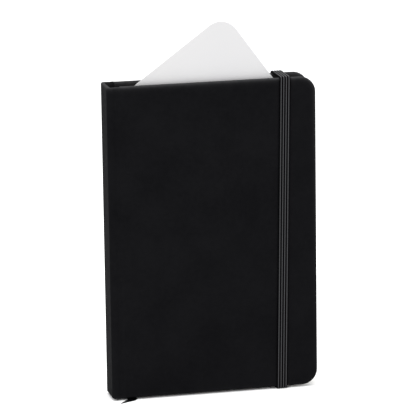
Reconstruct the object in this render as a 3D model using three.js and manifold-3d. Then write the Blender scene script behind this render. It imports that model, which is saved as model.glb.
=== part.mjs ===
// Pocket notebook: a case-bound hardcover with sewn gatherings, a ribbon marker,
// an elastic closure band and a loose card. Millimetres.
// +X runs from the spine to the fore edge, -Y is the front cover's outer side, +Z runs from tail to head.
// The origin is under the middle of the closed book, on the surface that it stands on.

import * as THREE from "three";
import { mergeVertices } from "three/addons/utils/BufferGeometryUtils.js";
import Module from "manifold-3d";

const wasm = await Module();
wasm.setup();

// ---- Driving dimensions ----

const coverWidth = 93.6; // spine face to fore edge
const coverHeight = 140; // tail to head
const bookThickness = 15; // over both covers
const coverCorner = 7; // radius of the two fore-edge corners
const edgeRounding = 0.7; // radius of a wrapped board edge

const wrapThickness = 0.3; // leatherette sheet
const boardThickness = 1.9; // greyboard in a cover
const spineBoardThickness = 1.15;
const pasteThickness = 0.15; // pastedown paper
const turnIn = 14; // how far the leatherette is folded over inside
const glueGap = 0.05; // clearance between touching pieces

const spineCorner = 2; // outer radius of the spine's two long edges
const spineFlank = 2.5; // how far the spine's leatherette reaches round onto each cover
const coverStart = 6.05; // spine face to the near edge of a cover board
const spineBoardWidth = 12.8;
const spineCap = 11; // width of the folded cap at the spine's head and tail

const square = 3; // how far the covers overhang the leaves
const leafCorner = 5;
const foldSetback = 3.05; // spine face to the folds of the gatherings
const gatheringCount = 8;
const gatheringThickness = 0.96;
const flyleafThickness = 0.2;
const liningThickness = 0.25;
const liningInset = 6; // lining's ends from the leaves' head and tail
const threadRadius = 0.1;
const threadCount = 4;

const ribbonWidth = 4.4;
const ribbonThickness = 0.25;
const ribbonX = -37.8; // ribbon's centre line
const ribbonReach = 3.7; // longest point of the cut end, in front of the cover
const ribbonCutDrop = 3.1; // how much shorter the ribbon's other edge is

const bandWidth = 4.9;
const bandThickness = 0.8;
const bandX = 31.45; // band's centre at half height
const bandLean = 2.5; // how much nearer the fore edge the band is at the head than at the tail
const slotFromEdge = 9; // anchor slots from the back cover's head and tail edges
const slotClearance = 0.3;
const bandFoot = 7; // length of each glued end inside the back cover

const cardLeft = 57; // card side that runs down to the spine
const cardRight = 64; // card side that runs down to the fore edge
const cardCorner = 8.7;
const cardThickness = 0.3;
const cardTurn = THREE.MathUtils.degToRad(36);
const cardApexX = 6.7; // where the card's two top edges would meet
const cardApexAboveHead = 29.4;
const leafGap = 0.08; // clearance beside the card and the ribbon

// ---- Places worked out from the dimensions ----

const spineFace = -coverWidth / 2;
const foreEdge = coverWidth / 2;
const tail = bandThickness + glueGap;
const head = tail + coverHeight;
const midHeight = (tail + head) / 2;
const frontFace = -bookThickness / 2;
const backFace = bookThickness / 2;
const coverEdgeX = spineFace + coverStart;
const wrapDepth = 2 * wrapThickness + boardThickness + 2 * glueGap;
const coverDepth = wrapDepth + glueGap + pasteThickness;
const foldX = spineFace + foldSetback;
const leafEndX = foreEdge - square;
const leafTail = tail + square;
const leafHead = head - square;

const cardFront = frontFace + coverDepth + leafGap;
const flyleafFront = cardFront + cardThickness + leafGap;
const firstGatheringFront = flyleafFront + flyleafThickness + glueGap;
const ribbonFront = firstGatheringFront + gatheringThickness + leafGap;
const ribbonY = ribbonFront + ribbonThickness / 2;
const secondGatheringFront = ribbonFront + ribbonThickness + leafGap;
const gatheringPitch = gatheringThickness + glueGap;
const lastGatheringBack = secondGatheringFront + (gatheringCount - 1) * gatheringPitch - glueGap;
const backFlyleafFront = lastGatheringBack + glueGap;

// ---- Colours and finishes ----

const leatherette = { color: 0x17171a, roughness: 0.55, metalness: 0 };
const greyboard = { color: 0x8c8a83, roughness: 0.95, metalness: 0 };
const paper = { color: 0xf1ead6, roughness: 0.9, metalness: 0 };
const lining = { color: 0xe6e1d3, roughness: 0.95, metalness: 0 };
const thread = { color: 0xf5f3ec, roughness: 0.8, metalness: 0 };
const satin = { color: 0x0c0c0e, roughness: 0.45, metalness: 0 };
const elastic = { color: 0x2b2b2d, roughness: 0.7, metalness: 0 };
const card = { color: 0xebebee, roughness: 0.7, metalness: 0 };

function makeMesh(name, geometry, finish) {
  const mesh = new THREE.Mesh(geometry, new THREE.MeshStandardMaterial(finish));
  mesh.name = name;
  return mesh;
}

// ---- Joining and cutting ----

function solidOf(geometry) {
  const bare = new THREE.BufferGeometry();
  const source = geometry.index ? geometry.toNonIndexed() : geometry;
  bare.setAttribute("position", source.getAttribute("position").clone());
  const merged = mergeVertices(bare, 1e-4);
  const vertProperties = merged.attributes.position.array;
  const triVerts = new Uint32Array(merged.index.array);
  return new wasm.Manifold(new wasm.Mesh({ numProp: 3, vertProperties, triVerts }));
}

function geometryOf(solid) {
  const mesh = solid.getMesh();
  const geometry = new THREE.BufferGeometry();
  geometry.setAttribute("position", new THREE.BufferAttribute(mesh.vertProperties, 3));
  geometry.setIndex(new THREE.BufferAttribute(mesh.triVerts, 1));
  return geometry;
}

// A box given by its lowest and highest corners.
function boxBetween(low, high) {
  const size = high.map((value, i) => value - low[i]);
  const centre = high.map((value, i) => (value + low[i]) / 2);
  return new THREE.BoxGeometry(...size).translate(...centre);
}

// ---- Outlines ----

// A rectangle in X and Z whose two fore-edge corners are rounded.
function leafOutline(lowX, highX, lowZ, highZ, radius) {
  const outline = new THREE.Shape();
  outline.moveTo(lowX, lowZ);
  outline.lineTo(highX - radius, lowZ);
  outline.absarc(highX - radius, lowZ + radius, radius, -Math.PI / 2, 0);
  outline.lineTo(highX, highZ - radius);
  outline.absarc(highX - radius, highZ - radius, radius, 0, Math.PI / 2);
  outline.lineTo(lowX, highZ);
  outline.closePath();
  return outline;
}

// An outline in X and Z, made solid from y = 0 to y = thickness.
function plate(outline, thickness) {
  const geometry = new THREE.ExtrudeGeometry(outline, {
    depth: thickness,
    bevelEnabled: false,
    curveSegments: 6,
  });
  return geometry.rotateX(Math.PI / 2).translate(0, thickness, 0);
}

// The same, with its long edges rounded.
function roundedPlate(outline, thickness, radius) {
  const geometry = new THREE.ExtrudeGeometry(outline, {
    depth: thickness - 2 * radius,
    bevelEnabled: true,
    bevelThickness: radius,
    bevelSize: radius,
    bevelOffset: -radius,
    bevelSegments: 2,
    curveSegments: 6,
  });
  return geometry.rotateX(Math.PI / 2).translate(0, thickness - radius, 0);
}

// A path of straight runs in Y and Z with rounded turns, as [y, z] points.
function roundedPath(corners, radius) {
  const points = [new THREE.Vector2(...corners[0])];
  for (let i = 1; i < corners.length - 1; i++) {
    const corner = new THREE.Vector2(...corners[i]);
    const before = new THREE.Vector2(...corners[i - 1]).sub(corner);
    const after = new THREE.Vector2(...corners[i + 1]).sub(corner);
    const reach = Math.min(radius, before.length() / 2, after.length() / 2);
    const start = corner.clone().addScaledVector(before.normalize(), reach);
    const end = corner.clone().addScaledVector(after.normalize(), reach);
    const turn = new THREE.QuadraticBezierCurve(start, corner, end);
    points.push(...turn.getPoints(4));
  }
  points.push(new THREE.Vector2(...corners[corners.length - 1]));
  return points;
}

// A flat strip that follows a path in Y and Z, solid from x = -width / 2 to x = width / 2.
function stripAlong(points, thickness, width) {
  const normals = points.map((point, i) => {
    const ahead = points[Math.min(i + 1, points.length - 1)];
    const behind = points[Math.max(i - 1, 0)];
    const along = ahead.clone().sub(behind).normalize();
    return new THREE.Vector2(-along.y, along.x);
  });
  const side = (sign) =>
    points.map((point, i) => point.clone().addScaledVector(normals[i], (sign * thickness) / 2));
  const outline = new THREE.Shape([...side(1), ...side(-1).reverse()]);
  const geometry = new THREE.ExtrudeGeometry(outline, { depth: width, bevelEnabled: false });
  // the outline's x and y become Y and Z, and its depth becomes X
  geometry.translate(0, 0, -width / 2);
  return geometry.applyMatrix4(new THREE.Matrix4().set(0, 0, 1, 0, 1, 0, 0, 0, 0, 1, 0, 0, 0, 0, 0, 1));
}

// ---- Covers ----
// A cover is drawn lying with its outer face on y = 0, its inner side towards +Y and z = 0 at half height.

const halfHeight = coverHeight / 2;

function coverOutline(inset, radius) {
  return leafOutline(
    coverEdgeX - 2 * spineCorner,
    foreEdge - inset,
    inset - halfHeight,
    halfHeight - inset,
    radius,
  );
}

function spineSideTrim(x) {
  return solidOf(boxBetween([x - coverStart, -1, -coverHeight], [x, coverDepth + 1, coverHeight]));
}

function coverBoard() {
  const inset = wrapThickness + glueGap;
  const blank = plate(coverOutline(inset, coverCorner - inset), boardThickness).translate(0, inset, 0);
  return solidOf(blank).subtract(spineSideTrim(coverEdgeX));
}

// Leatherette over the board: outer face, three folded edges and the turn-ins.
function coverWrap() {
  const outer = solidOf(roundedPlate(coverOutline(0, coverCorner), wrapDepth, edgeRounding));
  const pocket = plate(coverOutline(wrapThickness, coverCorner - wrapThickness), boardThickness + 2 * glueGap);
  const window = plate(coverOutline(turnIn, 2 * spineCorner), wrapDepth);
  return outer
    .subtract(solidOf(pocket.translate(0, wrapThickness, 0)))
    .subtract(solidOf(window.translate(0, wrapDepth / 2, 0)))
    .subtract(spineSideTrim(coverEdgeX));
}

function pastedown() {
  const inset = square - 0.5;
  const sheet = plate(coverOutline(inset, coverCorner - inset + 1), pasteThickness);
  return solidOf(sheet.translate(0, wrapDepth + glueGap, 0)).subtract(spineSideTrim(coverEdgeX + 0.5));
}

// Where the band's centre line is at a height above the book's middle.
function bandCentreAt(aboveMiddle) {
  return bandX + (bandLean * aboveMiddle) / coverHeight;
}

// The slot that the band passes through, and the shallow bed for its glued end.
// The back cover is turned over when it is placed, so up is down here.
function bandSlot(end) {
  const slotZ = end * (halfHeight - slotFromEdge);
  const centre = bandCentreAt(-slotZ);
  const reachX = bandWidth / 2 + slotClearance + 0.2;
  const reachZ = bandThickness / 2 + slotClearance;
  const bedEnd = slotZ - end * (bandFoot + 1);
  const slot = boxBetween([centre - reachX, -1, slotZ - reachZ], [centre + reachX, wrapDepth + 1, slotZ + reachZ]);
  const bed = boxBetween(
    [centre - reachX, wrapDepth - bandThickness - 2 * glueGap, Math.min(slotZ, bedEnd)],
    [centre + reachX, wrapDepth + 1, Math.max(slotZ, bedEnd)],
  );
  return solidOf(slot).add(solidOf(bed));
}

function makeCover(side, slots) {
  const group = new THREE.Group();
  const cut = (solid) => slots.reduce((rest, slot) => rest.subtract(slot), solid);
  group.add(makeMesh(`${side}_cover_board`, geometryOf(cut(coverBoard())), greyboard));
  group.add(makeMesh(`${side}_cover_wrap`, geometryOf(cut(coverWrap())), leatherette));
  group.add(makeMesh(`${side}_pastedown`, geometryOf(pastedown()), paper));
  return group;
}

function frontCover() {
  const group = makeCover("front", []);
  group.position.set(0, frontFace, midHeight);
  return group;
}

function backCover() {
  const group = makeCover("back", [bandSlot(1), bandSlot(-1)]);
  group.rotation.x = Math.PI;
  group.position.set(0, backFace, midHeight);
  return group;
}

// ---- Spine and joints ----

// The spine's cross-section in X and Y, open towards the leaves: outer or inner side of the leatherette.
function spineProfile(path, inset, reverse) {
  const radius = spineCorner - inset;
  const centreX = spineFace + spineCorner;
  const centreY = backFace - spineCorner;
  const endX = spineFace + spineFlank;
  if (reverse) {
    path.lineTo(endX, centreY + radius);
    path.absarc(centreX, centreY, radius, Math.PI / 2, Math.PI, false);
    path.absarc(centreX, -centreY, radius, Math.PI, 1.5 * Math.PI, false);
    path.lineTo(endX, -centreY - radius);
    return;
  }
  path.moveTo(endX, -centreY - radius);
  path.absarc(centreX, -centreY, radius, 1.5 * Math.PI, Math.PI, true);
  path.absarc(centreX, centreY, radius, Math.PI, Math.PI / 2, true);
  path.lineTo(endX, centreY + radius);
}

function upright(outline, lowZ, highZ) {
  const settings = { depth: highZ - lowZ, bevelEnabled: false, curveSegments: 6 };
  return new THREE.ExtrudeGeometry(outline, settings).translate(0, 0, lowZ);
}

// Leatherette over the spine board, folded over the board's ends to make the head and tail caps.
function spineWrap() {
  const outline = new THREE.Shape();
  spineProfile(outline, 0, false);
  spineProfile(outline, wrapThickness, true);
  outline.closePath();
  let wrap = solidOf(upright(outline, tail, head));
  const flapX = spineFace + wrapThickness + 2 * glueGap + spineBoardThickness;
  for (const [lowZ, highZ, flapLow, flapHigh] of [
    [tail, tail + wrapThickness, tail, tail + turnIn],
    [head - wrapThickness, head, head - turnIn, head],
  ]) {
    const cap = [
      [spineFace + wrapThickness / 2, -spineCap / 2, lowZ],
      [flapX + wrapThickness, spineCap / 2, highZ],
    ];
    const flap = [
      [flapX, -spineCap / 2, flapLow],
      [flapX + wrapThickness, spineCap / 2, flapHigh],
    ];
    wrap = wrap.add(solidOf(boxBetween(...cap))).add(solidOf(boxBetween(...flap)));
  }
  return geometryOf(wrap);
}

function spineBoard() {
  const inset = wrapThickness + glueGap;
  const outerX = spineFace + inset;
  const innerX = outerX + spineBoardThickness;
  const halfWidth = spineBoardWidth / 2;
  const radius = spineBoardThickness;
  const outline = new THREE.Shape();
  outline.moveTo(innerX, -halfWidth);
  outline.absarc(outerX + radius, -halfWidth + radius, radius, 1.5 * Math.PI, Math.PI, true);
  outline.absarc(outerX + radius, halfWidth - radius, radius, Math.PI, Math.PI / 2, true);
  outline.lineTo(innerX, halfWidth);
  outline.closePath();
  return upright(outline, tail + inset, head - inset);
}

// The flexible strip of leatherette between the spine and a cover; side is -1 in front and 1 behind.
function jointStrip(side) {
  const thickness = wrapThickness + pasteThickness;
  const outer = side * backFace;
  const inner = side * (backFace - thickness);
  return boxBetween(
    [spineFace + spineFlank + glueGap, Math.min(outer, inner), tail],
    [coverEdgeX - glueGap, Math.max(outer, inner), head],
  );
}

function spine() {
  const group = new THREE.Group();
  group.add(makeMesh("spine_board", spineBoard(), greyboard));
  group.add(makeMesh("spine_wrap", spineWrap(), leatherette));
  group.add(makeMesh("front_joint_strip", jointStrip(-1), leatherette));
  group.add(makeMesh("back_joint_strip", jointStrip(1), leatherette));
  return group;
}

// ---- Leaves ----

function leafPlate(thickness) {
  return plate(leafOutline(foldX, leafEndX, leafTail, leafHead, leafCorner), thickness);
}

function placed(mesh, y) {
  mesh.position.y = y;
  return mesh;
}

function frontLeaves() {
  const group = new THREE.Group();
  group.add(placed(makeMesh("front_flyleaf", leafPlate(flyleafThickness), paper), flyleafFront));
  group.add(placed(makeMesh("page_gathering_1", leafPlate(gatheringThickness), paper), firstGatheringFront));
  return group;
}

function textBlock() {
  const group = new THREE.Group();
  for (let i = 2; i <= gatheringCount; i++) {
    const y = secondGatheringFront + (i - 2) * gatheringPitch;
    group.add(placed(makeMesh(`page_gathering_${i}`, leafPlate(gatheringThickness), paper), y));
  }
  group.add(placed(makeMesh("back_flyleaf", leafPlate(flyleafThickness), paper), backFlyleafFront));
  return group;
}

// Stitches across the folds, and the gauze and paper lining glued over them.
function spineSewing() {
  const group = new THREE.Group();
  const length = lastGatheringBack - secondGatheringFront;
  const middleY = (lastGatheringBack + secondGatheringFront) / 2;
  const threadX = foldX - threadRadius - glueGap;
  const spacing = (leafHead - leafTail) / (threadCount + 1);
  for (let i = 1; i <= threadCount; i++) {
    const stitch = new THREE.CylinderGeometry(threadRadius, threadRadius, length, 8);
    const mesh = makeMesh(`sewing_thread_${i}`, stitch, thread);
    mesh.position.set(threadX, middleY, leafTail + i * spacing);
    group.add(mesh);
  }
  const liningBack = threadX - threadRadius - glueGap;
  const sheet = boxBetween(
    [liningBack - liningThickness, secondGatheringFront, leafTail + liningInset],
    [liningBack, lastGatheringBack, leafHead - liningInset],
  );
  group.add(makeMesh("spine_lining", sheet, lining));
  return group;
}

// ---- Ribbon marker ----

// It lies over the head of the leaves, runs down behind the first gathering and comes out under the front cover.
function ribbonMarker() {
  const underCover = tail / 2 - 0.05;
  const corners = [
    [2.4, leafHead + 0.2],
    [ribbonY, leafHead + 0.2],
    [ribbonY, leafTail - 0.4],
    [frontFace + coverDepth, underCover],
    [frontFace, underCover],
    [frontFace - ribbonReach, ribbonThickness],
  ];
  const strip = solidOf(stripAlong(roundedPath(corners, 0.25), ribbonThickness, ribbonWidth));
  // the end is cut on a slant
  const cut = new THREE.Shape();
  cut.moveTo(-ribbonWidth / 2, frontFace - ribbonReach);
  cut.lineTo(ribbonWidth / 2 + 1, frontFace - ribbonReach + (ribbonCutDrop * (ribbonWidth + 1)) / ribbonWidth);
  cut.lineTo(ribbonWidth / 2 + 1, frontFace - ribbonReach - 1);
  cut.lineTo(-ribbonWidth / 2, frontFace - ribbonReach - 1);
  cut.closePath();
  return geometryOf(strip.subtract(solidOf(upright(cut, -1, 2))));
}

// ---- Elastic closure band ----

function closureBand() {
  const half = bandThickness / 2;
  const outside = backFace + glueGap + half;
  const inside = backFace - wrapDepth + half;
  const overHead = head + glueGap + half;
  const underTail = tail - glueGap - half;
  const headSlot = head - slotFromEdge;
  const tailSlot = tail + slotFromEdge;
  const corners = [
    [inside, headSlot - bandFoot],
    [inside, headSlot],
    [outside, headSlot],
    [outside, overHead],
    [-outside, overHead],
    [-outside, underTail],
    [outside, underTail],
    [outside, tailSlot],
    [inside, tailSlot],
    [inside, tailSlot + bandFoot],
  ];
  const geometry = stripAlong(roundedPath(corners, 0.8), bandThickness, bandWidth);
  // the band leans: x grows with height
  const lean = new THREE.Matrix4();
  lean.set(1, 0, bandLean / coverHeight, 0, 0, 1, 0, 0, 0, 0, 1, 0, 0, 0, 0, 1);
  return geometry.translate(0, 0, -midHeight).applyMatrix4(lean);
}

// ---- Loose card ----

function cardPlate() {
  const outline = new THREE.Shape();
  const r = cardCorner;
  outline.moveTo(-cardLeft + r, -cardRight);
  outline.absarc(-r, -cardRight + r, r, -Math.PI / 2, 0);
  outline.absarc(-r, -r, r, 0, Math.PI / 2);
  outline.absarc(-cardLeft + r, -r, r, Math.PI / 2, Math.PI);
  outline.absarc(-cardLeft + r, -cardRight + r, r, Math.PI, 1.5 * Math.PI);
  outline.closePath();
  return plate(outline, cardThickness);
}

// ---- The notebook ----

const notebook = new THREE.Group();
notebook.add(frontCover(), backCover(), spine(), frontLeaves(), textBlock(), spineSewing());

const ribbon = makeMesh("ribbon_marker", ribbonMarker(), satin);
ribbon.position.x = ribbonX;

const band = makeMesh("closure_band", closureBand(), elastic);
band.position.set(bandX, 0, midHeight);

const noteCard = makeMesh("note_card", cardPlate(), card);
noteCard.rotation.y = -cardTurn;
noteCard.position.set(cardApexX, cardFront, head + cardApexAboveHead);

notebook.add(ribbon, band, noteCard);

export default notebook;
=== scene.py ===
"""Looks of the pocket notebook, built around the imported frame. Metres; the frame is the row frame."""

import math
import random

import bmesh
import bpy
from mathutils import Matrix, Vector


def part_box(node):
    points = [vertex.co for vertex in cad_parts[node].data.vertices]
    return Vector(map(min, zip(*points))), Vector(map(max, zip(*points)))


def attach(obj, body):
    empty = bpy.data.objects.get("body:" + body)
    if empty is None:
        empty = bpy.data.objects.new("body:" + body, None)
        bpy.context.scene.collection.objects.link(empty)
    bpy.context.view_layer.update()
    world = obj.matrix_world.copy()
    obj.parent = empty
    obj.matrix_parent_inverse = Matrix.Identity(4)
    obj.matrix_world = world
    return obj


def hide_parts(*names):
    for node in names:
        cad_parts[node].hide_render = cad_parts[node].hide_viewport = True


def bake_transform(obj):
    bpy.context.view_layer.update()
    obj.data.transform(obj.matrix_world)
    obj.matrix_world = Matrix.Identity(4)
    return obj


MM = 0.001
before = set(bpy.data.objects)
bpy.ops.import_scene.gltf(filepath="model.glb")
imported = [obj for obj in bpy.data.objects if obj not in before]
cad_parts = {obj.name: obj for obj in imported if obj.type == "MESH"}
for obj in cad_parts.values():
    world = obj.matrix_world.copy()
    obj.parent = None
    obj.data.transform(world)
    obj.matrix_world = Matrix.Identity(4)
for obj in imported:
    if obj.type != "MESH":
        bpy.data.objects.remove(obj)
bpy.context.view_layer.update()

# ---- Places, from the CAD boxes, in millimetres ----


def box_mm(node):
    low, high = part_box(node)
    return low / MM, high / MM


cover_low, cover_high = box_mm("front_cover_wrap")
spine_low, spine_high = box_mm("spine_wrap")
leaf_low, leaf_high = box_mm("page_gathering_2")
band_low, band_high = box_mm("closure_band")

SPINE = spine_low.x
FORE = cover_high.x
TAIL = cover_low.z
HEAD = cover_high.z
MIDDLE = (TAIL + HEAD) / 2
HALF = -cover_low.y
COVER_START = cover_low.x
COVER_DEPTH = cover_high.y - cover_low.y
COVER_CORNER = 7.0
LEAF_CORNER = 5.0

# ---- The camera ----


def make_camera():
    azimuth = math.radians(-13.25)
    elevation = math.radians(12.78)
    roll = math.radians(-0.77)
    back = Vector(
        (
            math.sin(azimuth) * math.cos(elevation),
            -math.cos(azimuth) * math.cos(elevation),
            math.sin(elevation),
        )
    )
    right = Vector((math.cos(azimuth), math.sin(azimuth), 0))
    up = back.cross(right)
    rolled_right = math.cos(roll) * right + math.sin(roll) * up
    rolled_up = -math.sin(roll) * right + math.cos(roll) * up
    data = bpy.data.cameras.new("camera")
    data.lens = 282.95
    data.sensor_width = 36
    data.dof.use_dof = False
    data.clip_start = 0.01
    data.clip_end = 20
    camera = bpy.data.objects.new("camera", data)
    bpy.context.scene.collection.objects.link(camera)
    aim = Vector((0.07, 0, 82.07)) * MM
    camera.matrix_world = Matrix.Translation(aim + back * 1.4582) @ Matrix(
        (rolled_right, rolled_up, back)
    ).transposed().to_4x4()
    bpy.context.scene.camera = camera


make_camera()

# ---- Mesh helpers ----


def turn_outwards(piece, sharp_from=35):
    made = bmesh.new()
    made.from_mesh(piece.data)
    bmesh.ops.recalc_face_normals(made, faces=made.faces)
    made.to_mesh(piece.data)
    made.free()
    piece.data.set_sharp_from_angle(angle=math.radians(sharp_from))


def make_piece(name, points, faces, material, sharp_from=35):
    """A smooth-shaded mesh object from points in millimetres, with faces outwards and its material set."""
    mesh = bpy.data.meshes.new(name)
    mesh.from_pydata([(x * MM, y * MM, z * MM) for x, y, z in points], [], faces)
    mesh.update()
    piece = bpy.data.objects.new(name, mesh)
    bpy.context.scene.collection.objects.link(piece)
    for polygon in mesh.polygons:
        polygon.use_smooth = True
    mesh.materials.append(material)
    turn_outwards(piece, sharp_from)
    return piece


def set_values(piece, name, values):
    attribute = piece.data.attributes.new(name, "FLOAT", "POINT")
    attribute.data.foreach_set("value", values)


def rounding(distance, radius):
    """How far a rounded edge falls back at a distance in from the outline."""
    if distance >= radius:
        return 0.0
    return radius - math.sqrt(max(0.0, radius * radius - (radius - distance) ** 2))


# ---- Materials ----


class Shader:
    """A principled material whose texture nodes are fed with the rest position in millimetres."""

    def __init__(self, name):
        self.material = bpy.data.materials.new(name)
        self.material.use_nodes = True
        self.tree = self.material.node_tree
        self.bsdf = self.tree.nodes["Principled BSDF"]
        coordinates = self.tree.nodes.new("ShaderNodeTexCoord")
        scaling = self.tree.nodes.new("ShaderNodeMapping")
        scaling.inputs["Scale"].default_value = (1 / MM, 1 / MM, 1 / MM)
        self.tree.links.new(coordinates.outputs["Object"], scaling.inputs["Vector"])
        self.place = scaling.outputs["Vector"]

    def node(self, kind, inputs=(), **settings):
        made = self.tree.nodes.new(kind)
        for key, value in settings.items():
            setattr(made, key, value)
        for key, value in dict(inputs).items():
            if isinstance(value, bpy.types.NodeSocket):
                self.tree.links.new(value, made.inputs[key])
            else:
                made.inputs[key].default_value = value
        return made

    def stretched(self, scale):
        return self.node(
            "ShaderNodeMapping", {"Vector": self.place, "Scale": scale}
        ).outputs["Vector"]

    def noise(self, scale, detail=3.0, stretch=(1, 1, 1), roughness=0.55):
        return self.node(
            "ShaderNodeTexNoise",
            {
                "Vector": self.stretched(stretch),
                "Scale": scale,
                "Detail": detail,
                "Roughness": roughness,
            },
        ).outputs["Fac"]

    def cells(self, scale, feature="F1"):
        made = self.node(
            "ShaderNodeTexVoronoi",
            {"Vector": self.place, "Scale": scale},
            feature=feature,
        )
        return made.outputs["Distance"]

    def wave(self, direction, scale, distortion=0.0):
        return self.node(
            "ShaderNodeTexWave",
            {"Vector": self.place, "Scale": scale, "Distortion": distortion},
            bands_direction=direction,
        ).outputs["Fac"]

    def attribute(self, name):
        return self.node("ShaderNodeAttribute", attribute_name=name).outputs["Fac"]

    def math(self, operation, a, b=0.0):
        return self.node("ShaderNodeMath", {0: a, 1: b}, operation=operation).outputs[0]

    def spread(self, value, low, high, start=0.0, end=1.0):
        return self.node(
            "ShaderNodeMapRange",
            {
                "Value": value,
                "From Min": start,
                "From Max": end,
                "To Min": low,
                "To Max": high,
            },
        ).outputs["Result"]

    def blend(self, share, first, second):
        made = self.node("ShaderNodeMix", data_type="RGBA")
        for index, value in ((0, share), (6, first), (7, second)):
            if isinstance(value, bpy.types.NodeSocket):
                self.tree.links.new(value, made.inputs[index])
            elif index == 0:
                made.inputs[0].default_value = value
            else:
                made.inputs[index].default_value = (*value, 1)
        return made.outputs[2]

    def colour(self, socket):
        self.tree.links.new(socket, self.bsdf.inputs["Base Color"])

    def roughness(self, socket):
        self.tree.links.new(socket, self.bsdf.inputs["Roughness"])

    def bumps(self, layers):
        """layers: (height socket, strength, depth in millimetres), coarse first."""
        normal = None
        for height, strength, depth in layers:
            inputs = {"Height": height, "Strength": strength, "Distance": depth * MM}
            if normal is not None:
                inputs["Normal"] = normal
            normal = self.node("ShaderNodeBump", inputs).outputs["Normal"]
        self.tree.links.new(normal, self.bsdf.inputs["Normal"])

    def finish(self, specular=0.5, sheen=0.0, sheen_roughness=0.5):
        self.bsdf.inputs["Specular IOR Level"].default_value = specular
        self.bsdf.inputs["Sheen Weight"].default_value = sheen
        self.bsdf.inputs["Sheen Roughness"].default_value = sheen_roughness
        return self.material


def leatherette():
    s = Shader("leatherette")
    cloudy = s.noise(0.05, 4)
    blotchy = s.noise(0.6, 3)
    mixed = s.math("ADD", cloudy, s.spread(blotchy, -0.12, 0.12, 0.3, 0.7))
    tone = s.spread(mixed, 0, 1, 0.3, 0.7)
    base = s.blend(tone, (0.0041, 0.0041, 0.0047), (0.0056, 0.0056, 0.0063))
    # Painted highlight: near the outline the black is lightened towards a light grey, standing in for light
    # catching the rounded edges.
    edge_highlight = s.math("MULTIPLY", s.attribute("edge"), s.spread(blotchy, 0.35, 0.9))
    s.colour(s.blend(edge_highlight, base, (0.055, 0.055, 0.057)))
    s.roughness(s.spread(blotchy, 0.52, 0.66, 0.3, 0.7))
    grain = s.cells(2.1, "SMOOTH_F1")
    pores = s.noise(4.5, 2)
    waviness = s.noise(0.045, 2)
    s.bumps([(waviness, 0.5, 0.5), (grain, 0.3, 0.06), (pores, 0.2, 0.03)])
    return s.finish(specular=0.005)


def elastic():
    s = Shader("elastic")
    # Painted highlight and shade: rib crests are painted lighter and the grooves and plain edges near
    # black, standing in for light on the ribs and shade between them; where the band crosses the head and
    # tail (fold) the crest colour is painted lighter still.
    crest = s.attribute("crest")
    picks = s.wave("Z", 0.75, 0.6)
    fuzz = s.noise(3.0, 3)
    ridge = s.spread(crest, 0, 1, 0.8, 0.99)
    lit = s.math("MULTIPLY", ridge, s.spread(picks, 0.65, 1.0))
    shade = s.math("MULTIPLY", lit, s.spread(fuzz, 0.75, 1.15, 0.3, 0.7))
    painted_crest_highlight = s.blend(
        s.attribute("fold"), (0.066, 0.066, 0.069), (0.15, 0.15, 0.154)
    )
    s.colour(s.blend(shade, (0.0012, 0.0012, 0.0015), painted_crest_highlight))
    s.roughness(s.spread(fuzz, 0.6, 0.8))
    s.bumps([(picks, 0.35, 0.06), (fuzz, 0.3, 0.04)])
    return s.finish(specular=0.01)


def satin():
    s = Shader("satin")
    warp = s.wave("X", 2.4, 0.3)
    weft = s.wave("Y", 1.8, 0.3)
    fuzz = s.noise(2.0, 2)
    s.colour(s.blend(warp, (0.001, 0.001, 0.0012), (0.0025, 0.0025, 0.003)))
    s.roughness(s.spread(fuzz, 0.35, 0.5))
    s.bumps([(warp, 0.4, 0.04), (weft, 0.3, 0.03)])
    return s.finish(specular=0.006)


def white_card():
    s = Shader("white_card")
    fibres = s.noise(1.2, 4)
    cloudy = s.noise(0.05, 2)
    s.colour(s.blend(cloudy, (0.49, 0.49, 0.498), (0.515, 0.51, 0.512)))
    s.roughness(s.spread(fibres, 0.5, 0.62))
    s.bumps([(fibres, 0.08, 0.02)])
    return s.finish(specular=0.35)


def page_paper():
    s = Shader("page_paper")
    fibres = s.noise(1.5, 4)
    cloudy = s.noise(0.06, 3)
    base = s.blend(s.attribute("shade"), (0.44, 0.41, 0.335), (0.53, 0.50, 0.42))
    toned = s.blend(s.spread(cloudy, 0, 0.3), base, (0.47, 0.44, 0.36))
    s.colour(s.blend(s.spread(fibres, 0, 0.18), toned, (0.58, 0.56, 0.5)))
    s.roughness(s.spread(fibres, 0.8, 0.95))
    s.bumps([(cloudy, 0.2, 0.08), (fibres, 0.12, 0.02)])
    return s.finish(specular=0.2)


def ivory(s):
    """Endpaper's colour and roughness; gives back its two textures."""
    fibres = s.noise(1.1, 4)
    cloudy = s.noise(0.07, 3)
    base = s.blend(cloudy, (0.47, 0.44, 0.36), (0.52, 0.49, 0.41))
    s.colour(s.blend(s.spread(fibres, 0, 0.25), base, (0.56, 0.54, 0.47)))
    s.roughness(s.spread(fibres, 0.72, 0.88))
    return fibres, cloudy


def endpaper():
    s = Shader("endpaper")
    fibres, cloudy = ivory(s)
    s.bumps([(cloudy, 0.3, 0.1), (fibres, 0.15, 0.02)])
    return s.finish(specular=0.25)


def pastedown_paper():
    """Endpaper glued down over the turn-ins, whose inner edges press through it."""
    s = Shader("pastedown_paper")
    fibres, cloudy = ivory(s)
    split = s.node("ShaderNodeSeparateXYZ", {"Vector": s.place})
    from_fore = s.math("SUBTRACT", FORE, split.outputs["X"])
    from_head = s.math("SUBTRACT", HEAD, split.outputs["Z"])
    from_tail = s.math("SUBTRACT", split.outputs["Z"], TAIL)
    nearest = s.math("MINIMUM", from_fore, s.math("MINIMUM", from_head, from_tail))
    wobble = s.math("ADD", nearest, s.spread(cloudy, -0.6, 0.6))
    step = s.spread(wobble, 1, 0, 13.8, 14.4)
    s.bumps([(step, 0.8, 0.25), (cloudy, 0.3, 0.12), (fibres, 0.15, 0.02)])
    return s.finish(specular=0.25)


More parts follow.
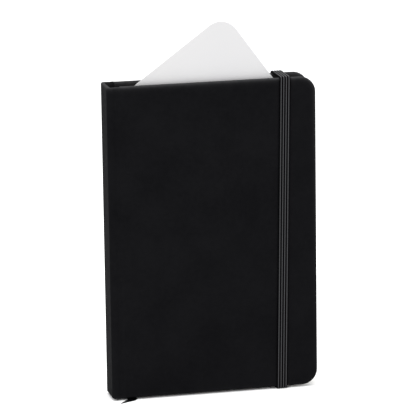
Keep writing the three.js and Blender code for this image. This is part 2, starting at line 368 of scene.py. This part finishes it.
def greyboard():
    s = Shader("greyboard")
    fibres = s.noise(1.4, 5, (1, 4, 1))
    specks = s.noise(5.0, 2)
    base = s.blend(fibres, (0.17, 0.16, 0.145), (0.33, 0.315, 0.29))
    s.colour(s.blend(s.spread(specks, 0, 0.5, 0.6, 0.75), base, (0.09, 0.08, 0.07)))
    s.roughness(s.spread(fibres, 0.88, 0.98))
    s.bumps([(fibres, 0.4, 0.08)])
    return s.finish(specular=0.2)


def gauze():
    s = Shader("gauze")
    across = s.wave("Y", 0.9, 0.4)
    down = s.wave("Z", 0.9, 0.4)
    weave = s.math("MAXIMUM", across, down)
    s.colour(s.blend(weave, (0.52, 0.48, 0.38), (0.84, 0.81, 0.72)))
    s.roughness(s.spread(weave, 0.95, 0.8))
    s.bumps([(weave, 0.5, 0.08)])
    return s.finish(specular=0.2)


def linen_thread():
    s = Shader("linen_thread")
    twist = s.node(
        "ShaderNodeTexWave",
        {"Vector": s.stretched((1, 1, 1)), "Scale": 2.2, "Distortion": 0.4},
        bands_direction="DIAGONAL",
    ).outputs["Fac"]
    s.colour(s.blend(twist, (0.66, 0.63, 0.55), (0.92, 0.9, 0.85)))
    s.roughness(s.spread(twist, 0.75, 0.6))
    s.bumps([(twist, 0.5, 0.05)])
    return s.finish(specular=0.3, sheen=0.2)


LEATHERETTE = leatherette()
ELASTIC = elastic()
SATIN = satin()
CARD = white_card()
PAPER = page_paper()
ENDPAPER = endpaper()
PASTEDOWN = pastedown_paper()
GREYBOARD = greyboard()
GAUZE = gauze()
THREAD = linen_thread()

# ---- The case: leatherette over the boards, the joints and the spine ----

PLATE = 1.85  # spine board with its cloth, thick
CLOTH = 0.45  # cloth and paper at the joint, thick
SPINE_CORNER = 2.0
EDGE = 1.0  # radius of a cover's wrapped edges
JOINT_EDGE = 0.22  # radius of the cloth's own edge at the joint
GROOVE = 0.42  # depth of the joint's groove
BOARD_EDGE = COVER_START - 0.15


def corner_angles(steps):
    """Angles round a quarter turn, closer together towards its end."""
    return [90 * (1 - (1 - i / steps) ** 1.5) for i in range(1, steps + 1)]


def spine_pairs():
    """Outer and inner points as (x, distance from the middle plane), and the head edge's radius there."""
    pairs = []
    flat = HALF - SPINE_CORNER
    for share in (0, 0.25, 0.5, 0.75, 0.9, 1.0):
        y = flat * share
        pairs.append(((SPINE, y), (SPINE + PLATE, y), 0.75))
    for angle in range(6, 91, 6):
        a = math.radians(angle)
        outer_x = SPINE + SPINE_CORNER * (1 - math.cos(a))
        outer_y = flat + SPINE_CORNER * math.sin(a)
        if angle <= 42:
            inner = (SPINE + PLATE, flat + 0.9 * angle / 42)
            pairs.append(((outer_x, outer_y), inner, 0.75 - 0.4 * angle / 42))
        else:
            reach = SPINE_CORNER - CLOTH
            inner_x = SPINE + SPINE_CORNER - reach * math.cos(a)
            inner_y = flat + reach * math.sin(a)
            pairs.append(((outer_x, outer_y), (inner_x, inner_y), JOINT_EDGE))
    return pairs


def joint_pairs():
    pairs = []
    start = SPINE + SPINE_CORNER
    end = BOARD_EDGE - 0.1
    steps = 14
    for i in range(1, steps + 1):
        share = i / steps
        x = start + (end - start) * share
        groove = GROOVE * math.sin(math.pi * share) ** 2
        outer = (x, HALF - groove)
        inner = (x, HALF - groove - CLOTH)
        pairs.append((outer, inner, JOINT_EDGE + 0.3 * max(0, share - 0.7) / 0.3))
    return pairs


def board_pairs():
    xs = [BOARD_EDGE + d for d in (0, 0.3, 0.8, 1.6, 3, 6)]
    flat_end = FORE - COVER_CORNER
    xs += [xs[-1] + (flat_end - xs[-1]) * i / 12 for i in range(1, 13)]
    for angle in corner_angles(20):
        xs.append(flat_end + COVER_CORNER * math.sin(math.radians(angle)))
    inner = HALF - COVER_DEPTH
    pairs = []
    for x in xs:
        near = min(1.0, (x - BOARD_EDGE) / 1.6)
        pairs.append(((x, HALF), (x, inner), 0.6 + (EDGE - 0.6) * near))
    return pairs


def reach_in_z(x, corner, edge_x, low, high):
    """Lowest and highest z of the outline at x, with the two fore-edge corners rounded."""
    start = edge_x - corner
    if x <= start:
        return low, high
    drop = corner - math.sqrt(max(0.0, corner**2 - (x - start) ** 2))
    return low + drop, high - drop


def distance_in(x, z, corner, edge_x, low, high):
    """Distance from the outline, inwards, at (x, z)."""
    from_fore = edge_x - x
    from_end = min(z - low, high - z)
    if from_fore < corner and from_end < corner:
        return corner - math.hypot(corner - from_fore, corner - from_end)
    return min(from_fore, from_end)


EDGE_STEPS = (0, 0.03, 0.1, 0.2, 0.35, 0.55, 0.8, 1.1, 1.6, 2.4, 3.6, 5.5, 9, 14)


def rows_between(low, high):
    middle = 8
    rows = [low + d for d in EDGE_STEPS]
    start, end = low + EDGE_STEPS[-1], high - EDGE_STEPS[-1]
    rows += [start + (end - start) * i / middle for i in range(1, middle)]
    rows += [high - d for d in reversed(EDGE_STEPS)]
    return rows


def case_half(side):
    """Half of the case, from the middle of the spine to the fore edge; side is -1 in front and 1 behind."""
    pairs = spine_pairs() + joint_pairs() + board_pairs()
    outer_points, inner_points, outer_highlight, inner_highlight = [], [], [], []
    for (ox, oy), (ix, iy), radius in pairs:
        low, high = reach_in_z(ox, COVER_CORNER, FORE, TAIL, HEAD)
        across = math.hypot(ix - ox, iy - oy)
        inward = ((ix - ox) / across, (iy - oy) / across)
        radius = min(radius, 0.48 * across)
        for z in rows_between(low, high):
            distance = max(0.0, distance_in(ox, z, COVER_CORNER, FORE, TAIL, HEAD))
            back = rounding(distance, radius)
            outer_points.append(
                (ox + inward[0] * back, side * (oy + inward[1] * back), z)
            )
            inner_points.append(
                (ix - inward[0] * back, side * (iy - inward[1] * back), z)
            )
            # Painted highlight on the outer face's rounded edges, strongest at the head and weakest at the
            # tail, where less light falls; the inner face near the outline gets painted light on the
            # turn-in.
            head_light_share = 0.15 + 0.85 * ((z - TAIL) / (HEAD - TAIL)) ** 2
            outer_highlight.append(head_light_share * math.exp(-distance / 0.6))
            inner_highlight.append(0.8 * math.exp(-distance / 2.2))
    rows = len(rows_between(TAIL, HEAD))
    columns = len(pairs)
    count = rows * columns
    faces = []
    for i in range(columns - 1):
        for j in range(rows - 1):
            a, b = i * rows + j, (i + 1) * rows + j
            faces.append((a, b, b + 1, a + 1))
            faces.append((count + a, count + a + 1, count + b + 1, count + b))
        for j in (0, rows - 1):
            a, b = i * rows + j, (i + 1) * rows + j
            faces.append((a, b, count + b, count + a))
    for i in (0, columns - 1):
        for j in range(rows - 1):
            a = i * rows + j
            faces.append((a, a + 1, count + a + 1, count + a))
    name = "front_case_cloth" if side < 0 else "back_case_cloth"
    piece = make_piece(
        name, outer_points + inner_points, faces, LEATHERETTE
    )
    # The edge values carry the painted highlight into the leatherette's colour.
    set_values(piece, "edge", outer_highlight + inner_highlight)
    return piece


front_case = case_half(-1)
back_case = case_half(1)
for case, cover, side in (
    (front_case, "front_cover", -1),
    (back_case, "back_cover", 1),
):
    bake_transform(case)
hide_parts("front_cover_wrap", "front_joint_strip", "spine_wrap")
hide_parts("back_cover_wrap", "back_joint_strip")

# ---- Leaves ----

shuffle = random.Random(11)
LEAVES_PER_GATHERING = 12


def leaf_plate(points, faces, columns, y_low, y_high, cut):
    """Adds one leaf: columns of four points, with the fore-edge corners rounded, trimmed back by cut."""
    edge_x = leaf_high.x - cut
    low, high = leaf_low.z + cut * 0.6, leaf_high.z - cut * 0.6
    first = len(points)
    for x in columns:
        at = min(x, edge_x)
        bottom, top = reach_in_z(at, LEAF_CORNER, edge_x, low, high)
        points += [
            (at, y_low, bottom),
            (at, y_low, top),
            (at, y_high, top),
            (at, y_high, bottom),
        ]
    for i in range(len(columns) - 1):
        a, b = first + 4 * i, first + 4 * (i + 1)
        for k in range(4):
            n = (k + 1) % 4
            faces.append((a + k, a + n, b + n, b + k))
    last = first + 4 * (len(columns) - 1)
    faces.append((first, first + 3, first + 2, first + 1))
    faces.append((last, last + 1, last + 2, last + 3))


def leaf_columns(start, edge_x, near_fold=()):
    columns = [start] + [start + d for d in near_fold]
    flat_end = edge_x - LEAF_CORNER
    columns.append(flat_end)
    for i in range(1, 11):
        columns.append(flat_end + LEAF_CORNER * math.sin(math.radians(9 * i)))
    return columns


FOLD_STEPS = [0.3 + 0.55 * i for i in range(24)] + [16, 20, 30, 45, 60]


def gathering(name, y_low, y_high, leaves, near_fold=()):
    """A sewn gathering: leaves one on another, trimmed a little unevenly, rounded at the fold."""
    points, faces, shades = [], [], []
    pitch = (y_high - y_low) / leaves
    for i in range(leaves):
        offset = (2 * i + 1 - leaves) / leaves
        fold = leaf_low.x + 0.45 * (1 - math.sqrt(1 - offset * offset))
        cut = shuffle.uniform(0, 0.16)
        columns = leaf_columns(fold, leaf_high.x - cut, near_fold)
        bottom = y_low + pitch * i
        leaf_plate(points, faces, columns, bottom, bottom + 0.93 * pitch, cut)
        shades += [shuffle.random()] * (len(points) - len(shades))
    piece = make_piece(name, points, faces, PAPER)
    set_values(piece, "shade", shades)
    return piece


for number in range(2, 9):
    node = f"page_gathering_{number}"
    low, high = box_mm(node)
    piece = gathering(f"leaves_{number}", low.y, high.y, LEAVES_PER_GATHERING)
    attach(piece, "text_block")
    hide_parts(node)

low, high = box_mm("page_gathering_1")
first_leaves = gathering("leaves_1", low.y, high.y, LEAVES_PER_GATHERING, FOLD_STEPS)
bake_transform(first_leaves)
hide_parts("page_gathering_1")


def flyleaf(name, node, near_fold):
    low, high = box_mm(node)
    points, faces = [], []
    columns = leaf_columns(leaf_low.x, leaf_high.x, near_fold)
    leaf_plate(points, faces, columns, low.y, high.y, 0)
    piece = make_piece(name, points, faces, ENDPAPER)
    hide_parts(node)
    return piece


front_fly = flyleaf("front_flyleaf_sheet", "front_flyleaf", FOLD_STEPS)
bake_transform(front_fly)
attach(flyleaf("back_flyleaf_sheet", "back_flyleaf", ()), "text_block")


HINGE_STEPS = 18
HALF_PAPER = 0.06  # half the endpaper strip's thickness


def endpaper_hinge(side):
    """The strip of endpaper that crosses the joint, from the flyleaf's fold to the pastedown."""
    where = "front" if side < 0 else "back"
    fly_low, fly_high = box_mm(f"{where}_flyleaf")
    paste_low, paste_high = box_mm(f"{where}_pastedown")
    fold_y = fly_low.y - HALF_PAPER if side < 0 else fly_high.y + HALF_PAPER
    paste_y = (paste_low.y + paste_high.y) / 2
    start, end = leaf_low.x + 0.05, paste_low.x + 0.02
    points, faces = [], []
    for i in range(HINGE_STEPS + 1):
        share = i / HINGE_STEPS
        x = start + (end - start) * share
        y = fold_y + (paste_y - fold_y) * share * share * (3 - 2 * share)
        for dy, z in (
            (-HALF_PAPER, leaf_low.z),
            (-HALF_PAPER, leaf_high.z),
            (HALF_PAPER, leaf_high.z),
            (HALF_PAPER, leaf_low.z),
        ):
            points.append((x, y + dy, z))
    for i in range(HINGE_STEPS):
        a, b = 4 * i, 4 * (i + 1)
        for k in range(4):
            n = (k + 1) % 4
            faces.append((a + k, a + n, b + n, b + k))
    faces.append((0, 3, 2, 1))
    last = 4 * HINGE_STEPS
    faces.append((last, last + 1, last + 2, last + 3))
    piece = make_piece(f"{where}_endpaper_hinge", points, faces, ENDPAPER)
    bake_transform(piece)


endpaper_hinge(-1)
endpaper_hinge(1)

# ---- Ribbon marker ----

RIBBON_WIDTH = 4.4
RIBBON_THICK = 0.25
RIBBON_SLANT = 4.3  # how much further the tip reaches on one edge of the ribbon than on the other
RIBBON_START_Y = 2.4  # where the ribbon leaves its glued end, over the head
ribbon_low, ribbon_high = box_mm("ribbon_marker")
RIBBON_X = (ribbon_low.x + ribbon_high.x) / 2


def rounded_path(corners, radius, steps=6):
    """Straight runs with rounded turns between them."""
    points = [Vector(corners[0])]
    for i in range(1, len(corners) - 1):
        corner = Vector(corners[i])
        before = Vector(corners[i - 1]) - corner
        after = Vector(corners[i + 1]) - corner
        reach = min(radius, before.length / 2, after.length / 2)
        start = corner + before.normalized() * reach
        end = corner + after.normalized() * reach
        for k in range(steps + 1):
            t = k / steps
            points.append(
                (1 - t) ** 2 * start + 2 * t * (1 - t) * corner + t * t * end
            )
    points.append(Vector(corners[-1]))
    return points


def ribbon_route():
    block_head, block_tail = leaf_high.z + 0.2, leaf_low.z - 0.4
    gap_low = box_mm("page_gathering_1")[1].y
    gap_high = leaf_low.y
    inside = (gap_low + gap_high) / 2
    under = TAIL / 2 - 0.1
    return rounded_path(
        [
            (RIBBON_X, RIBBON_START_Y, block_head),
            (RIBBON_X, inside, block_head),
            (RIBBON_X, inside, block_tail),
            (RIBBON_X, cover_high.y, under),
            (RIBBON_X, -HALF + 3.5, under),
            (RIBBON_X, -HALF + 0.7, RIBBON_THICK * 0.7),
            (RIBBON_X - 3.0, -HALF - 3.0, RIBBON_THICK * 0.6),
        ],
        0.6,
        5,
    )


def ribbon_marker():
    route = ribbon_route()
    across = [i / 6 - 0.5 for i in range(7)]
    points, faces = [], []
    for i, place in enumerate(route):
        ahead = route[min(i + 1, len(route) - 1)]
        behind = route[max(i - 1, 0)]
        along = (ahead - behind).normalized()
        side = Vector((1, 0, 0))
        face = side.cross(along).normalized()
        for sign in (1, -1):
            for share in across:
                point = place + side * share * RIBBON_WIDTH
                point = point + face * sign * RIBBON_THICK / 2
                if i == len(route) - 1:
                    point = point - along * share * RIBBON_SLANT
                points.append(tuple(point))
    width = len(across)
    ring = 2 * width
    for i in range(len(route) - 1):
        for k in range(width - 1):
            a, b = i * ring + k, (i + 1) * ring + k
            faces.append((a, a + 1, b + 1, b))
            faces.append((a + width, b + width, b + width + 1, a + width + 1))
        for k in (0, width - 1):
            a, b = i * ring + k, (i + 1) * ring + k
            faces.append((a, b, b + width, a + width))
    for base in (0, (len(route) - 1) * ring):
        for k in range(width - 1):
            faces.append(
                (base + k, base + k + 1, base + width + k + 1, base + width + k)
            )
    piece = make_piece("ribbon_strip", points, faces, SATIN)
    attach(piece, "text_block")
    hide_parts("ribbon_marker")


ribbon_marker()


def ribbon_root():
    """The glued end: up the lining and over the head, folded square into the ribbon."""
    lining_low = box_mm("spine_lining")[0]
    back = lining_low.x - 0.16
    over = leaf_high.z + 0.45
    route = rounded_path(
        [(back, 0, over - 9), (back, 0, over), (RIBBON_X + RIBBON_WIDTH / 2, 0, over)],
        0.5,
    )
    far = box_mm("back_pastedown")[0].y - 0.15
    near = far - RIBBON_WIDTH
    points, faces = [], []
    for i, place in enumerate(route):
        along = (route[min(i + 1, len(route) - 1)] - route[max(i - 1, 0)]).normalized()
        face = Vector((-along.z, 0, along.x)) * RIBBON_THICK * 0.4
        for y, sign in ((near, 1), (far, 1), (far, -1), (near, -1)):
            points.append((place.x + sign * face.x, y, place.z + sign * face.z))
    for i in range(len(route) - 1):
        for k in range(4):
            n = (k + 1) % 4
            a, b = 4 * i, 4 * (i + 1)
            faces.append((a + k, a + n, b + n, b + k))
    faces.append((0, 1, 2, 3))
    last = 4 * (len(route) - 1)
    faces.append((last, last + 1, last + 2, last + 3))
    piece = make_piece("ribbon_root", points, faces, SATIN)
    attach(piece, "text_block")


ribbon_root()

# ---- Elastic closure band ----

BAND_THICK = 0.8
BAND_WIDTH = 4.9
BAND_X = (band_low.x + band_high.x) / 2
BAND_LEAN = band_high.x - band_low.x - BAND_WIDTH
BAND_SELVEDGE = 0.12
RIBS = 4
BAND_RADIUS = 0.8  # of the band's turns
SLOT_FROM_EDGE = 9  # anchor slots from the back cover's head and tail edges
BAND_FOOT = 7  # length of each glued end
BAND_FOOT_DEPTH = 2.6  # the glued ends' inner face, in from the back cover's face


def band_cross_section():
    """Points round the band's section as (across, out, crest): ribs between plain edges, on both faces."""
    per_rib = 8
    ribbed = BAND_WIDTH - 2 * BAND_SELVEDGE
    face = [(-BAND_WIDTH / 2, BAND_THICK * 0.22, 0.0)]
    for i in range(RIBS * per_rib + 1):
        within = (i % per_rib) / per_rib
        crest = math.sin(math.pi * within) ** 0.7 if i % per_rib else 0.0
        across = (i / (RIBS * per_rib) - 0.5) * ribbed
        out = BAND_THICK / 2 * (0.5 + 0.5 * crest)
        face.append((across, out, crest))
    face.append((BAND_WIDTH / 2, BAND_THICK * 0.22, 0.0))
    back = [(across, -out, crest) for across, out, crest in reversed(face)]
    return face + back


def band_strip(name, route):
    section = band_cross_section()
    points, faces, crests, folds = [], [], [], []
    lean = BAND_LEAN / (HEAD - TAIL)
    for i, (y, z) in enumerate(route):
        ahead = Vector(route[min(i + 1, len(route) - 1)])
        behind = Vector(route[max(i - 1, 0)])
        along = (ahead - behind).normalized()
        outwards = Vector((-along.y, along.x))
        centre = BAND_X + lean * (z - MIDDLE)
        for across, out, crest in section:
            points.append((centre + across, y + outwards.x * out, z + outwards.y * out))
            crests.append(crest)
            # fold marks the band's crossings over the head and under the tail, where the elastic's crest
            # colour is painted lighter as a painted highlight.
            folds.append(1.0 if abs(y) < HALF + 0.1 else 0.0)
    ring = len(section)
    for i in range(len(route) - 1):
        for k in range(ring):
            n = (k + 1) % ring
            faces.append((i * ring + k, i * ring + n, (i + 1) * ring + n, (i + 1) * ring + k))
    faces.append(tuple(range(ring)))
    faces.append(tuple(range((len(route) - 1) * ring, len(route) * ring)))
    piece = make_piece(name, points, faces, ELASTIC, 60)
    set_values(piece, "crest", crests)
    set_values(piece, "fold", folds)
    return piece


def flat_route(corners, radius):
    return [(p.x, p.y) for p in rounded_path([(y, z, 0) for y, z in corners], radius)]


band_out = band_high.y - BAND_THICK / 2
band_in = HALF - BAND_FOOT_DEPTH + BAND_THICK / 2
over_head = band_high.z - BAND_THICK / 2
under_tail = band_low.z + BAND_THICK / 2
head_slot = HEAD - SLOT_FROM_EDGE
tail_slot = TAIL + SLOT_FROM_EDGE
slot_mouth = HALF - 0.5

closure = band_strip(
    "closure_band_elastic",
    flat_route(
        [
            (slot_mouth, head_slot),
            (band_out, head_slot),
            (band_out, over_head),
            (-band_out, over_head),
            (-band_out, under_tail),
            (band_out, under_tail),
            (band_out, tail_slot),
            (slot_mouth, tail_slot),
        ],
        BAND_RADIUS,
    ),
)
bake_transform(closure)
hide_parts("closure_band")
for name, slot_z, inwards in (
    ("closure_band_head_end", head_slot, -BAND_FOOT),
    ("closure_band_tail_end", tail_slot, BAND_FOOT),
):
    foot = band_strip(
        name,
        flat_route(
            [(slot_mouth, slot_z), (band_in, slot_z), (band_in, slot_z + inwards)], BAND_RADIUS
        ),
    )
    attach(foot, "back_cover")

# ---- The loose card ----

CARD_LEFT, CARD_RIGHT, CARD_CORNER = 57.0, 64.0, 8.7
CARD_TURN = math.radians(36)
CARD_APEX = Vector((6.7, HEAD + 29.4))  # where the card's two top edges would meet, as (x, z)


def note_card():
    low, high = box_mm("note_card")
    left = Vector((-math.cos(CARD_TURN), -math.sin(CARD_TURN)))
    down = Vector((math.sin(CARD_TURN), -math.cos(CARD_TURN)))
    outline = []
    for a, b, start in (
        (CARD_CORNER, CARD_CORNER, 180),
        (CARD_LEFT - CARD_CORNER, CARD_CORNER, 270),
        (CARD_LEFT - CARD_CORNER, CARD_RIGHT - CARD_CORNER, 0),
        (CARD_CORNER, CARD_RIGHT - CARD_CORNER, 90),
    ):
        for k in range(17):
            angle = math.radians(start + 90 * k / 16)
            s = a + CARD_CORNER * math.cos(angle)
            t = b + CARD_CORNER * math.sin(angle)
            outline.append(CARD_APEX + left * s + down * t)
    points = [(p.x, low.y, p.y) for p in outline] + [
        (p.x, high.y, p.y) for p in outline
    ]
    count = len(outline)
    faces = [tuple(range(count)), tuple(range(2 * count - 1, count - 1, -1))]
    for k in range(count):
        n = (k + 1) % count
        faces.append((k, n, count + n, count + k))
    piece = make_piece("note_card_sheet", points, faces, CARD)
    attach(piece, "note_card")
    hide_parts("note_card")


note_card()

# ---- CAD nodes that stay: their finishes ----

for node, material in (
    ("front_cover_board", GREYBOARD),
    ("back_cover_board", GREYBOARD),
    ("spine_board", GREYBOARD),
    ("front_pastedown", PASTEDOWN),
    ("back_pastedown", PASTEDOWN),
    ("spine_lining", GAUZE),
    ("sewing_thread_1", THREAD),
    ("sewing_thread_2", THREAD),
    ("sewing_thread_3", THREAD),
    ("sewing_thread_4", THREAD),
):
    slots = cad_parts[node].data.materials
    slots.clear()
    slots.append(material)

# ---- Floor and light ----


def make_floor():
    mesh = bpy.data.meshes.new("floor")
    reach = 4.0
    mesh.from_pydata(
        [(-reach, -reach, 0), (reach, -reach, 0), (reach, reach, 0), (-reach, reach, 0)],
        [],
        [(0, 1, 2, 3)],
    )
    floor = bpy.data.objects.new("floor", mesh)
    bpy.context.scene.collection.objects.link(floor)
    s = Shader("floor")
    tone = s.noise(0.01, 2)
    s.colour(s.blend(tone, (0.93, 0.93, 0.93), (0.95, 0.95, 0.95)))
    s.roughness(s.spread(tone, 0.85, 0.95))
    mesh.materials.append(s.finish(specular=0.1))


def area_light(name, place, aim, size, power):
    data = bpy.data.lights.new(name, "AREA")
    data.shape = "RECTANGLE"
    data.size, data.size_y = size
    data.energy = power
    light = bpy.data.objects.new(name, data)
    light.location = place
    light.rotation_euler = (Vector(aim) - Vector(place)).to_track_quat("-Z", "Y").to_euler()
    bpy.context.scene.collection.objects.link(light)


def make_light():
    world = bpy.data.worlds.new("world")
    world.use_nodes = True
    background = world.node_tree.nodes["Background"]
    background.inputs["Color"].default_value = (1, 1, 1, 1)
    background.inputs["Strength"].default_value = 1.2
    bpy.context.scene.world = world
    area_light("overhead", (0, -0.1, 1.5), (0, 0, 0), (0.7, 0.5), 14)
    area_light("front_left", (-0.9, -1.4, 1.0), (0, 0, 0.08), (1.0, 1.0), 8)


make_floor()
make_light()
bpy.context.scene.view_settings.view_transform = "Standard"

bpy.context.view_layer.update()
